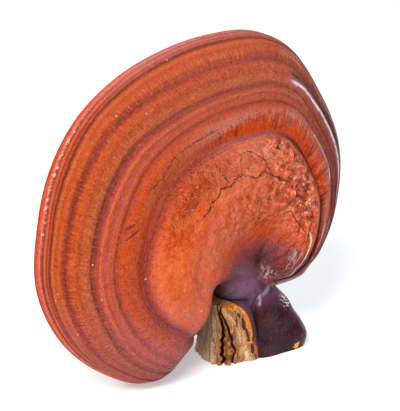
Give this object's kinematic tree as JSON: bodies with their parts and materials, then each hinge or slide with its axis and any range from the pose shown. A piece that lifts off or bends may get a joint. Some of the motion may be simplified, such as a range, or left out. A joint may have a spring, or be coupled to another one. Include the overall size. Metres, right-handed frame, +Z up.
{
  "type": "reishi mushroom",
  "caption": "Kidney-shaped lacquered bracket mushroom with ringed growth zones, standing on the sawn foot of its short stem and the low lobe of its cap.",
  "frame": {"origin": "middle of the stem's sawn foot, on the surface it stands on", "axes": "+Z up, lacquered face of the cap turned to -Y, pore side to +Y, the broad lobe of the cap to -X"},
  "size_m": [0.1466, 0.0465, 0.1295],
  "materials": {
    "lacquered_crust": "orange-red to purple-brown lacquer-like crust with a satin gloss, dull tan pores on the back",
    "stem_crust": "dark maroon to violet crust with a soft gloss",
    "split_wood": "dry, matte, split wood fibre"
  },
  "bodies": {
    "root": {"cap": "lacquered_crust", "stem": "stem_crust", "wood_stub": "split_wood"}
  },
  "joints": []
}
